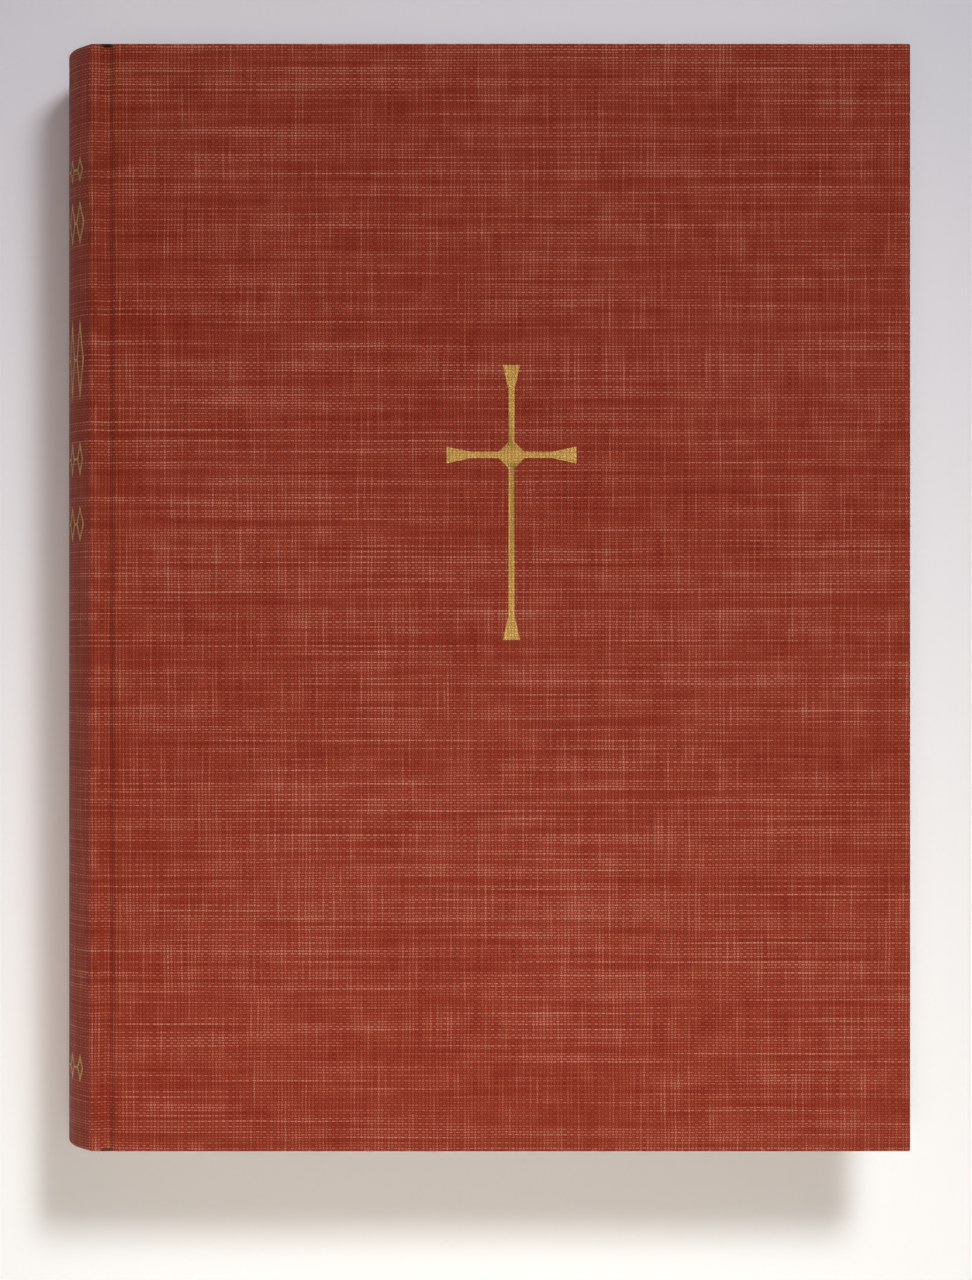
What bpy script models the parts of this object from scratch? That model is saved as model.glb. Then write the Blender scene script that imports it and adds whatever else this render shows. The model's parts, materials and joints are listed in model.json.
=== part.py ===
"""Case-bound prayer book: a sewn, rounded and backed text block in a cloth case with a French joint.

The book lies on its back cover. X runs from the spine to the fore-edge, Y from tail to head and
Z from the back cover to the front cover. The origin is the middle of the footprint, on the surface
that the book lies on. The front and the back half mirror each other about the middle plane, so a
height there is given as a distance from that plane and turned into Z by at_side().
"""

import math

import bmesh
import bpy
from mathutils import Matrix, Vector

# Overall sizes, in metres
COVER_HEIGHT = 0.2216
COVER_WIDTH = 0.1586
BOOK_THICKNESS = 0.0320
SPINE_BULGE = 0.0065
JOINT_WIDTH = 0.0049

# Case
CLOTH = 0.0004
BOARD = 0.0024
TURN_IN = 0.0150
RIDGE_RADIUS = 0.0013
RAMP_ANGLE = math.radians(45)
INLAY = 0.0007
HINGE_ABOVE_PASTEDOWN = 0.00045

# Text block
SQUARE = 0.0032
GATHERINGS = 14
LEAVES_PER_SIDE = 5
PAPER = 0.00015
ENDPAPER = 0.0002
FOLD_ROUND = 0.0008
BEND_IN = 0.0010
BEND_OUT = 0.0010
LEAF_GAP = 0.0005

# Spine linings, sewing and bands
MULL = 0.0003
LINING = 0.0003
MULL_FLANGE = 0.0250
MULL_SHORT = 0.0120
THREAD_RADIUS = 0.0002
THREAD_ROWS = 5
THREAD_END = 0.0120
BAND_RADIUS = 0.0007
HOLLOW = 0.0002

# Gold cross on the front cover
CROSS_HEIGHT = 0.0550
CROSS_SPAN = 0.0260
CROSS_STROKE = 0.0012
CROSS_FLARE = 0.0034
CROSS_FLARE_LENGTH = 0.0050
CROSS_LOZENGE = 0.0032
CROSS_BAR_DROP = 0.0180
CROSS_RISE = 0.0190
CROSS_SHIFT = -0.0005
FOIL = 0.00006
FOIL_SUNK = 0.00002
STAMP_DEPTH = 0.00014

# Fits
GLUE = 0.0001
CLEAR = 0.00015
SPLIT = 0.0003

# How far each turning leaf follows its cover, from the free endpaper inwards
TURN_SHARES = (0.97, 0.88, 0.70, 0.50, 0.29, 0.11)

ARC_STEPS = 24
RIDGE_STEPS = 6
BEND_STEPS = 5

# Worked out from the sizes above
TOTAL_WIDTH = SPINE_BULGE + JOINT_WIDTH + COVER_WIDTH
SPINE_X = -TOTAL_WIDTH / 2
RIDGE_X = SPINE_X + SPINE_BULGE
BOARD_X = RIDGE_X + JOINT_WIDTH
FORE_X = TOTAL_WIDTH / 2
HALF = BOOK_THICKNESS / 2
SPINE_ANGLE = 2 * math.atan((SPINE_BULGE - RIDGE_RADIUS) / (HALF - RIDGE_RADIUS))
SPINE_RADIUS = (HALF - RIDGE_RADIUS) / math.sin(SPINE_ANGLE) + RIDGE_RADIUS
SPINE_CENTRE_X = SPINE_X + SPINE_RADIUS
COVER_THICKNESS = 2 * CLOTH + BOARD + ENDPAPER + 3 * GLUE
INSIDE = HALF - COVER_THICKNESS
LEAF_STACK = CLEAR + (ENDPAPER + GLUE) + LEAVES_PER_SIDE * (PAPER + GLUE)
SEWN_HALF = INSIDE - LEAF_STACK
PAGE_HEIGHT = COVER_HEIGHT - 2 * SQUARE
PAGE_EDGE_X = FORE_X - SQUARE
INLAY_OUTER = SPINE_RADIUS - CLOTH - GLUE
INLAY_INNER = INLAY_OUTER - INLAY
CAP_INNER = INLAY_INNER - GLUE - CLOTH
LINING_OUTER = CAP_INNER - HOLLOW
MULL_OUTER = LINING_OUTER - LINING - GLUE
THREAD_OUTER = MULL_OUTER - MULL - GLUE
FOLD_RADIUS = THREAD_OUTER - 2 * THREAD_RADIUS - GLUE
HINGE_HEIGHT = INSIDE + HINGE_ABOVE_PASTEDOWN
RAMP_DROP = HALF - RIDGE_RADIUS - INSIDE - CLOTH
RAMP_END_X = RIDGE_X + (RIDGE_RADIUS / math.cos(RAMP_ANGLE) + RAMP_DROP) / math.tan(RAMP_ANGLE)

SIDES = {"front": 1, "back": -1}


def clear_scene():
    for old in list(bpy.data.objects):
        bpy.data.objects.remove(old)


def make_material(name, colour, roughness, metallic=0.0):
    material = bpy.data.materials.new(name)
    material.use_nodes = True
    shader = material.node_tree.nodes["Principled BSDF"]
    shader.inputs["Base Color"].default_value = (*colour, 1)
    shader.inputs["Roughness"].default_value = roughness
    shader.inputs["Metallic"].default_value = metallic
    return material


CLOTH_RED = (0.250, 0.038, 0.020)
PAPER_CREAM = (0.780, 0.700, 0.560)
BOARD_GREY = (0.330, 0.280, 0.220)
CARD_BROWN = (0.400, 0.300, 0.190)
MULL_WHITE = (0.720, 0.690, 0.600)
THREAD_WHITE = (0.800, 0.770, 0.690)
BAND_RED = (0.420, 0.070, 0.050)
FOIL_GOLD = (0.640, 0.420, 0.120)


def make_frame(name, x, z):
    """An empty on a joint's axis, or at the origin for what doesn't move."""
    frame = bpy.data.objects.new(name, None)
    frame.empty_display_size = 0.01
    frame.location = (x, 0, z)
    bpy.context.scene.collection.objects.link(frame)
    return frame


def finish_piece(name, data, frame, colour, roughness, metallic=0.0):
    """Links a mesh or curve made in book coordinates, with its origin on its frame's axis."""
    data.transform(Matrix.Translation(-frame.location))
    piece = bpy.data.objects.new(name, data)
    piece.parent = frame
    data.materials.append(make_material(name + "_material", colour, roughness, metallic))
    bpy.context.scene.collection.objects.link(piece)
    return piece


def at_side(side, height):
    return HALF + side * height


def mesh_from(bm, name):
    bmesh.ops.recalc_face_normals(bm, faces=bm.faces)
    mesh = bpy.data.meshes.new(name)
    bm.to_mesh(mesh)
    bm.free()
    return mesh


def box_mesh(name, x_range, y_range, z_range):
    corner = Vector((x_range[0], y_range[0], z_range[0]))
    size = Vector((x_range[1], y_range[1], z_range[1])) - corner
    bm = bmesh.new()
    matrix = Matrix.Translation(corner + size / 2) @ Matrix.Diagonal((*size, 1))
    bmesh.ops.create_cube(bm, size=1, matrix=matrix)
    return mesh_from(bm, name)


def strip_mesh(name, first, second, half_height):
    """A solid between two lines of as many (x, z) points each, running the same way, up and down Y."""
    bm = bmesh.new()
    rings = []
    for y in (-half_height, half_height):
        rings.append([[bm.verts.new((x, y, z)) for x, z in line] for line in (first, second)])
    (low_first, low_second), (high_first, high_second) = rings
    for i in range(len(first) - 1):
        bm.faces.new((low_first[i], low_first[i + 1], low_second[i + 1], low_second[i]))
        bm.faces.new((high_first[i], high_second[i], high_second[i + 1], high_first[i + 1]))
        bm.faces.new((low_first[i], high_first[i], high_first[i + 1], low_first[i + 1]))
        bm.faces.new((low_second[i], low_second[i + 1], high_second[i + 1], high_second[i]))
    for end in (0, -1):
        bm.faces.new((low_first[end], low_second[end], high_second[end], high_first[end]))
    return mesh_from(bm, name)


def spine_point(radius, angle):
    """A point on a circle about the spine's centre, with angle 0 at the middle and the front positive."""
    return (SPINE_CENTRE_X - radius * math.cos(angle), HALF + radius * math.sin(angle))


def spine_arc(radius, half_angle):
    return [spine_point(radius, half_angle * (2 * i / ARC_STEPS - 1)) for i in range(ARC_STEPS + 1)]


def spine_layer(name, outer_radius, thickness, half_height, frame, colour, roughness):
    """A curved strip round the spine, ending a little inside the ridges."""
    half_angle = SPINE_ANGLE - GLUE / SPINE_RADIUS
    outer = spine_arc(outer_radius, half_angle)
    inner = spine_arc(outer_radius - thickness, half_angle)
    mesh = strip_mesh(name, outer, inner, half_height)
    return finish_piece(name, mesh, frame, colour, roughness)


def leaf_line(height):
    """The (x, z) line of a sewn leaf, from fold to fore-edge, lying flat at this distance from the middle plane.

    It leaves the rounded spine square to it and bends into its flat run, so the outer leaves rise into
    the shoulders.
    Every leaf is as long as the outermost one, which hollows the fore-edge as much as the spine is rounded.
    """
    share = height / SEWN_HALF
    angle = SPINE_ANGLE * share
    bend_radius = height / math.sin(angle) if abs(angle) > 1e-6 else SEWN_HALF / SPINE_ANGLE
    bend = Vector(spine_point(bend_radius, angle))
    radial = Vector(spine_point(FOLD_RADIUS, angle)) - bend
    start = bend + radial.normalized() * BEND_IN
    end = bend + Vector((BEND_OUT, 0))
    line = [bend + radial, bend + radial * (1 - FOLD_ROUND / (3 * radial.length))]
    line.append(bend + radial * (1 - FOLD_ROUND / radial.length))
    for i in range(BEND_STEPS + 1):
        t = i / BEND_STEPS
        line.append(start * (1 - t) ** 2 + bend * 2 * t * (1 - t) + end * t**2)
    outer_bend_radius = SEWN_HALF / math.sin(SPINE_ANGLE)
    outer_bend_x = spine_point(outer_bend_radius, SPINE_ANGLE)[0]
    leaf_width = PAGE_EDGE_X - outer_bend_x + FOLD_RADIUS - outer_bend_radius
    line.append(Vector((bend.x + leaf_width - (FOLD_RADIUS - bend_radius), bend.y)))
    return line


def make_gathering(number, frame):
    """One folded section, its fold rounded off and squeezed at the very end."""
    pitch = 2 * SEWN_HALF / GATHERINGS
    low = -SEWN_HALF + (number - 1) * pitch
    below = leaf_line(low)
    middle = leaf_line(low + pitch / 2)
    above = leaf_line(low + pitch)
    inset = 1 - GLUE / pitch
    fullness = [0.35 * inset, 0.80 * inset] + [inset] * (len(middle) - 2)
    first = [m.lerp(b, f) for m, b, f in zip(middle, below, fullness)]
    second = [m.lerp(a, f) for m, a, f in zip(middle, above, fullness)]
    name = f"gathering_{number:02d}"
    mesh = strip_mesh(name, first, second, PAGE_HEIGHT / 2)
    return finish_piece(name, mesh, frame, PAPER_CREAM, 0.85)


def make_leaf(name, side, top, thickness, frame):
    """A flat leaf that turns with its cover. Its inner edge stays clear of the rising shoulder."""
    tip_x, tip_z = spine_point(FOLD_RADIUS, SPINE_ANGLE)
    underside = top - thickness
    inner_x = tip_x + (tip_z - HALF - underside) / math.tan(SPINE_ANGLE) + LEAF_GAP
    heights = sorted((at_side(side, top), at_side(side, underside)))
    mesh = box_mesh(name, (inner_x, PAGE_EDGE_X), (-PAGE_HEIGHT / 2, PAGE_HEIGHT / 2), heights)
    return finish_piece(name, mesh, frame, PAPER_CREAM, 0.8)


def make_arc_tube(name, radius, half_angle, y, tube_radius, frame, colour):
    """A round cord along the spine's curve at one height of the book, closed at both ends."""
    curve = bpy.data.curves.new(name, "CURVE")
    curve.dimensions = "3D"
    curve.bevel_depth = tube_radius
    curve.bevel_resolution = 1
    curve.use_fill_caps = True
    spline = curve.splines.new("POLY")
    spline.points.add(ARC_STEPS)
    for i, point in enumerate(spline.points):
        x, z = spine_point(radius, half_angle * (2 * i / ARC_STEPS - 1))
        point.co = (x, y, z, 1)
    return finish_piece(name, curve, frame, colour, 0.8)


def cloth_path():
    """The outer line of the spine cloth, from groove to groove over the ridges and round the spine."""
    centre = Vector((RIDGE_X, HALF - RIDGE_RADIUS))
    start = math.pi - SPINE_ANGLE
    end = math.pi / 2 - RAMP_ANGLE
    ridge = []
    for i in range(1, RIDGE_STEPS + 1):
        turn = start + (end - start) * i / RIDGE_STEPS
        ridge.append(centre + RIDGE_RADIUS * Vector((math.cos(turn), math.sin(turn))))
    ridge.append(Vector((RAMP_END_X, INSIDE + CLOTH)))
    front = [Vector((point.x, at_side(1, point.y))) for point in ridge]
    back = [Vector((point.x, at_side(-1, point.y))) for point in reversed(ridge)]
    arc = [Vector(point) for point in spine_arc(SPINE_RADIUS, SPINE_ANGLE)]
    return back, arc, front


def inward_normals(path):
    """Unit-thickness offsets to the inside of a line that runs from back to front, mitred at its corners."""
    steps = [(b - a).normalized() for a, b in zip(path, path[1:])]
    normals = [Vector((step.y, -step.x)) for step in steps]
    joined = [normals[0]]
    for a, b in zip(normals, normals[1:]):
        joined.append((a + b) / (1 + a.dot(b)))
    return joined + [normals[-1]]


def make_spine_cloth(frame):
    """Cloth over the spine and both ridges, turned in over the inlay at head and tail."""
    back, arc, front = cloth_path()
    path = back + arc + front
    normals = inward_normals(path)
    half = COVER_HEIGHT / 2
    depth = SPINE_RADIUS - CAP_INNER
    inner = half - CLOTH
    end = half - TURN_IN
    # (y, distance in from the outer face) of the plain sheet, and of the two turned-in caps
    sheet = [(-half, 0), (half, 0), (half, CLOTH), (inner, CLOTH), (-inner, CLOTH), (-half, CLOTH)]
    under = depth - CLOTH
    cap = [(half, CLOTH), (half, depth), (end, depth), (end, under), (inner, under), (inner, CLOTH)]
    bm = bmesh.new()

    def ring(profile, i, flip=1):
        rows = []
        for y, inset in profile:
            place = path[i] + normals[i] * inset
            rows.append(bm.verts.new((place.x, flip * y, place.y)))
        return rows

    def wall(a, b, edges):
        for m, n in edges:
            bm.faces.new((a[m], b[m], b[n], a[n]))

    first = len(back)
    last = first + len(arc) - 1
    sheets = [ring(sheet, i) for i in range(len(path))]
    all_edges = [(i, (i + 1) % 6) for i in range(6)]
    covered = [(2, 3), (4, 5)]
    for i, (a, b) in enumerate(zip(sheets, sheets[1:])):
        on_arc = first <= i < last
        wall(a, b, [edge for edge in all_edges if not (on_arc and edge in covered)])
    bm.faces.new(sheets[0])
    bm.faces.new(sheets[-1])
    for flip, outside, inside in ((1, 2, 3), (-1, 5, 4)):
        caps = {}
        for i in range(first, last + 1):
            middle = ring(cap[1:5], i, flip)
            caps[i] = [sheets[i][outside], *middle, sheets[i][inside]]
        for i in range(first, last):
            wall(caps[i], caps[i + 1], [(j, j + 1) for j in range(5)])
        bm.faces.new(caps[first])
        bm.faces.new(caps[last])
    return finish_piece("spine_cloth", mesh_from(bm, "spine_cloth"), frame, CLOTH_RED, 0.75)


def cut(piece, cutters):
    for cutter in cutters:
        cutter.hide_render = True
        cutter.display_type = "WIRE"
        modifier = piece.modifiers.new(cutter.name, "BOOLEAN")
        modifier.operation = "DIFFERENCE"
        modifier.solver = "EXACT"
        modifier.object = cutter


def make_cover_cloth(label, side, frame):
    """Cloth over one board, from the groove over the board, turned in at head, tail and fore-edge."""
    bottom = HALF - COVER_THICKNESS + ENDPAPER + GLUE
    groove = INSIDE
    outline = [
        (RAMP_END_X + SPLIT, groove),
        (BOARD_X + CLOTH, groove),
        (BOARD_X + CLOTH, bottom),
        (FORE_X, bottom),
        (FORE_X, HALF),
        (BOARD_X, HALF),
        (BOARD_X, groove + CLOTH),
        (RAMP_END_X + SPLIT, groove + CLOTH),
    ]
    name = f"{label}_cover_cloth"
    bm = bmesh.new()
    rings = []
    for y in (-COVER_HEIGHT / 2, COVER_HEIGHT / 2):
        rings.append([bm.verts.new((x, y, at_side(side, z))) for x, z in outline])
    for ring in rings:
        bm.faces.new(ring)
    for i in range(len(outline)):
        j = (i + 1) % len(outline)
        bm.faces.new((rings[0][i], rings[0][j], rings[1][j], rings[1][i]))
    cloth = finish_piece(name, mesh_from(bm, name), frame, CLOTH_RED, 0.75)

    half = COVER_HEIGHT / 2
    pocket_bottom = bottom + CLOTH
    pocket = box_mesh(
        f"{label}_board_pocket",
        (BOARD_X + CLOTH, FORE_X - CLOTH),
        (CLOTH - half, half - CLOTH),
        sorted((at_side(side, pocket_bottom), at_side(side, HALF - CLOTH))),
    )
    window = box_mesh(
        f"{label}_turn_in_window",
        (BOARD_X + 2 * CLOTH, FORE_X - TURN_IN),
        (TURN_IN - half, half - TURN_IN),
        sorted((at_side(side, bottom - BOARD), at_side(side, pocket_bottom + BOARD / 2))),
    )
    cut(cloth, [finish_piece(mesh.name, mesh, frame, CLOTH_RED, 0.75) for mesh in (pocket, window)])
    return cloth


def make_cover(label, side, frame):
    half = COVER_HEIGHT / 2
    top = HALF - CLOTH - GLUE
    board = box_mesh(
        f"{label}_board",
        (BOARD_X + CLOTH + GLUE, FORE_X - CLOTH - GLUE),
        (CLOTH + GLUE - half, half - CLOTH - GLUE),
        sorted((at_side(side, top), at_side(side, top - BOARD))),
    )
    finish_piece(board.name, board, frame, BOARD_GREY, 0.9)
    cloth = make_cover_cloth(label, side, frame)
    under_board = top - BOARD - GLUE
    flange = box_mesh(
        f"{label}_mull_flange",
        (BOARD_X + 2 * CLOTH + GLUE, BOARD_X + MULL_FLANGE),
        (TURN_IN + GLUE - half, half - TURN_IN - GLUE),
        sorted((at_side(side, under_board), at_side(side, under_board - MULL))),
    )
    finish_piece(flange.name, flange, frame, MULL_WHITE, 0.9)
    pastedown = box_mesh(
        f"{label}_pastedown",
        (BOARD_X + CLOTH + GLUE, PAGE_EDGE_X),
        (-PAGE_HEIGHT / 2, PAGE_HEIGHT / 2),
        sorted((at_side(side, INSIDE), at_side(side, INSIDE + ENDPAPER))),
    )
    finish_piece(pastedown.name, pastedown, frame, PAPER_CREAM, 0.8)
    return cloth


def cross_arm(length, grow):
    """Outline of one arm of the cross that points along +Y, from one lozenge corner to its tip and back."""
    stroke = CROSS_STROKE / 2 + grow
    flare = CROSS_FLARE / 2 + grow
    waist = CROSS_LOZENGE + grow - stroke
    neck = length - CROSS_FLARE_LENGTH
    tip = length + grow
    return [(stroke, waist), (stroke, neck), (flare, tip), (-flare, tip), (-stroke, neck), (-stroke, waist)]


def cross_mesh(name, grow, low, high):
    """A plate in the shape of the cross, grown all round, between two heights."""
    crossing_y = CROSS_RISE + CROSS_HEIGHT / 2 - CROSS_BAR_DROP
    lengths = (CROSS_BAR_DROP, CROSS_SPAN / 2, CROSS_HEIGHT - CROSS_BAR_DROP, CROSS_SPAN / 2)
    centre = Vector(((BOARD_X + FORE_X) / 2 + CROSS_SHIFT, crossing_y, 0))
    outline = []
    for quarter, length in enumerate(lengths):
        turn = Matrix.Rotation(quarter * math.pi / 2, 3, "Z")
        outline += [turn @ Vector((x, y, 0)) + centre for x, y in cross_arm(length, grow)]
    bm = bmesh.new()
    face = bm.faces.new([bm.verts.new((point.x, point.y, low)) for point in outline])
    raised = bmesh.ops.extrude_face_region(bm, geom=[face])["geom"]
    top = [item for item in raised if isinstance(item, bmesh.types.BMVert)]
    bmesh.ops.translate(bm, verts=top, vec=(0, 0, high - low))
    return mesh_from(bm, name)


def make_cross(cloth, frame):
    """Plain Latin cross with flared ends and a lozenge at the crossing, in gold foil in a stamped recess."""
    stamp = cross_mesh("cross_stamp", GLUE, BOOK_THICKNESS - STAMP_DEPTH, BOOK_THICKNESS + STAMP_DEPTH)
    cut(cloth, [finish_piece(stamp.name, stamp, frame, CLOTH_RED, 0.75)])
    top = BOOK_THICKNESS - FOIL_SUNK
    foil = cross_mesh("front_cross_foil", 0, top - FOIL, top)
    finish_piece(foil.name, foil, frame, FOIL_GOLD, 0.35, 1.0)


def make_text_block(frame):
    for number in range(1, GATHERINGS + 1):
        make_gathering(number, frame)
    run = PAGE_HEIGHT - 2 * THREAD_END
    half_angle = SPINE_ANGLE * (1 - 1 / GATHERINGS)
    for row in range(THREAD_ROWS):
        y = run * (row / (THREAD_ROWS - 1) - 0.5)
        radius = FOLD_RADIUS + GLUE + THREAD_RADIUS
        make_arc_tube(f"sewing_thread_{row + 1}", radius, half_angle, y, THREAD_RADIUS, frame, THREAD_WHITE)
    spine_layer("mull_spine", MULL_OUTER, MULL, PAGE_HEIGHT / 2 - MULL_SHORT, frame, MULL_WHITE, 0.9)
    spine_layer("spine_lining_paper", LINING_OUTER, LINING, PAGE_HEIGHT / 2, frame, CARD_BROWN, 0.9)
    band_y = PAGE_HEIGHT / 2 + GLUE + BAND_RADIUS
    for name, y in (("headband", band_y), ("tailband", -band_y)):
        make_arc_tube(name, FOLD_RADIUS - BAND_RADIUS, half_angle, y, BAND_RADIUS, frame, BAND_RED)


def make_case_spine(frame):
    spine_layer("spine_inlay", INLAY_OUTER, INLAY, COVER_HEIGHT / 2 - CLOTH - GLUE, frame, CARD_BROWN, 0.9)
    make_spine_cloth(frame)


def make_turning_leaves(label, side):
    """The free endpaper and the first leaves, each on a frame of its own that turns about the joint."""
    top = INSIDE - CLEAR
    names = [f"{label}_free_endpaper"] + [f"{label}_leaf_{i + 1}" for i in range(LEAVES_PER_SIDE)]
    for name, share in zip(names, TURN_SHARES):
        thickness = ENDPAPER if name.endswith("endpaper") else PAPER
        frame = make_frame(f"{name}_turn", RIDGE_X, at_side(side, HINGE_HEIGHT))
        frame["share_of_cover_turn"] = share
        make_leaf(name, side, top, thickness, frame)
        top -= thickness + GLUE


def main():
    clear_scene()
    fixed = make_frame("book", 0, 0)
    make_text_block(fixed)
    make_case_spine(fixed)
    for label, side in SIDES.items():
        hinge = make_frame(f"{label}_cover_hinge_line", RIDGE_X, at_side(side, HINGE_HEIGHT))
        cloth = make_cover(label, side, hinge)
        if label == "front":
            make_cross(cloth, hinge)
        make_turning_leaves(label, side)


main()
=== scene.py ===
"""The looks of a prayer book bound in rust-red linen cloth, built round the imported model.

Lengths are in metres. The book lies on its back cover with its spine at -X, its head at +Y and its
front cover up. The two halves mirror each other about the middle plane, so most lines are drawn for
the front half and turned over for the back half by at_side().
"""

import json
import math
import random

import bmesh
import bpy
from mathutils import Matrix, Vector


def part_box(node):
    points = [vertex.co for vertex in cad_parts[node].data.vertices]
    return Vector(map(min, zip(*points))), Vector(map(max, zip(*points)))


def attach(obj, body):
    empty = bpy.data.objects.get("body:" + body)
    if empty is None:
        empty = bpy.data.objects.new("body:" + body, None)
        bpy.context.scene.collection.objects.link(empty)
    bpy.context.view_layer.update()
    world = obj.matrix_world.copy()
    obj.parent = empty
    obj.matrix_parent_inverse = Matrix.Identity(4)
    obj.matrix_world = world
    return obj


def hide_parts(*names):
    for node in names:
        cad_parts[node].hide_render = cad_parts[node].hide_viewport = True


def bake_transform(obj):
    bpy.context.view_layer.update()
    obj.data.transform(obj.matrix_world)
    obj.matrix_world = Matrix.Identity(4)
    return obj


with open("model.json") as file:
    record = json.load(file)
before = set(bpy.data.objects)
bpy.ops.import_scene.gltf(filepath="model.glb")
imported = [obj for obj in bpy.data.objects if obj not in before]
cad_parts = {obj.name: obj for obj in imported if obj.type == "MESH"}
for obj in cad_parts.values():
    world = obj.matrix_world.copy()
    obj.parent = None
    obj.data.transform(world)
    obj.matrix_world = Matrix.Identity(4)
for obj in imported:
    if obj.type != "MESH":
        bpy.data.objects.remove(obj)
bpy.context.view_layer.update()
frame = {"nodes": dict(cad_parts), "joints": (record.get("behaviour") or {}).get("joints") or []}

# Places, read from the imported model
COVER_LOW, COVER_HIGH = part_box("front_cover_cloth")
PAGE_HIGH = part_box("front_free_endpaper")[1]
PASTE_LOW, PASTE_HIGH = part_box("front_pastedown")
SEWN_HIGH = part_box("front_leaf_5")[0].z
CROSS_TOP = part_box("front_cross_foil")[1].z
HINGES = {joint["name"]: Vector(joint["pos_m"]) for joint in frame["joints"]}
RIDGE_X = HINGES["front_cover_hinge"].x
THICKNESS = COVER_HIGH.z
HALF = THICKNESS / 2
HEIGHT = COVER_HIGH.y - COVER_LOW.y
FORE_X = COVER_HIGH.x
SPINE_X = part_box("spine_cloth")[0].x
BOARD_CLEARANCE = 0.0005
BOARD_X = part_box("front_board")[0].x - BOARD_CLEARANCE
PAGE_HALF = PAGE_HIGH.y
PAGE_EDGE_X = PAGE_HIGH.x

# Cloth
CLOTH = 0.00036
RIDGE_RADIUS = 0.0013
TURN_IN = 0.0150
EDGE_RADIUS = 0.00055
END_ROUNDING = 0.00034
GROOVE_END_X = BOARD_X + 0.0009
GROOVE_DEPTH = 0.00115
# (share of the way from the ridge to the groove's end, share of the groove's depth)
GROOVE_HOLLOW = (
    (0.00, 0.00), (0.06, 0.04), (0.14, 0.16), (0.23, 0.38), (0.32, 0.66), (0.40, 0.88), (0.47, 0.99),
    (0.53, 1.00), (0.58, 0.90), (0.63, 0.64), (0.68, 0.34), (0.73, 0.12), (0.79, 0.02), (0.86, 0.00),
    (1.00, 0.00),
)
# The thickness of the strip that spans the joint, and the inner face's clearance from the pastedown
STRIP = 0.0008
PASTE_GAP = 0.0001
CAP_ROLL = 0.00085
# The caps' roll is shallower beside the ridges, and full this many steps of the line further in
CAP_AT_RIDGE = 0.42
CAP_FADE_STEPS = 9
WARP_PITCH = 0.00069
WEFT_PITCH = 0.00054
TINY = 1e-6

# The rounded spine, as the case's ridge radius, bulge and thickness give it
SPINE_ANGLE = 2 * math.atan((RIDGE_X - SPINE_X - RIDGE_RADIUS) / (HALF - RIDGE_RADIUS))
SPINE_RADIUS = (HALF - RIDGE_RADIUS) / math.sin(SPINE_ANGLE) + RIDGE_RADIUS
SPINE_CENTRE_X = SPINE_X + SPINE_RADIUS
INSIDE = PASTE_LOW.z - HALF
SIDES = {"front": 1, "back": -1}
LEAF_NAMES = ("free_endpaper", "leaf_1", "leaf_2", "leaf_3", "leaf_4", "leaf_5")


# ---------------------------------------------------------------- shader expressions


class Term:
    """A socket that can be used in arithmetic: each operator adds a Math node."""

    def __init__(self, tree, socket):
        self.tree = tree
        self.socket = socket

    def math(self, operation, other=0.0):
        return self.tree.node("ShaderNodeMath", {"operation": operation}, {0: self, 1: other})

    def __add__(self, other):
        return self.math("ADD", other)

    __radd__ = __add__

    def __sub__(self, other):
        return self.math("SUBTRACT", other)

    def __rsub__(self, other):
        return self.tree.node("ShaderNodeMath", {"operation": "SUBTRACT"}, {0: other, 1: self})

    def __mul__(self, other):
        return self.math("MULTIPLY", other)

    __rmul__ = __mul__

    def __truediv__(self, other):
        return self.math("DIVIDE", other)

    def floor(self):
        return self.math("FLOOR")

    def fract(self):
        return self.math("FRACT")

    def abs(self):
        return self.math("ABSOLUTE")

    def cos(self):
        return self.math("COSINE")

    def clamp(self):
        return self.tree.node("ShaderNodeClamp", {}, {"Value": self})

    def between(self, low, high):
        """0 below low, 1 above high, smooth between."""
        settings = {"interpolation_type": "SMOOTHSTEP"}
        inputs = {"Value": self, "From Min": low, "From Max": high}
        return self.tree.node("ShaderNodeMapRange", settings, inputs)


def with_alpha(colour):
    return (*colour, 1) if isinstance(colour, tuple) else colour


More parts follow.
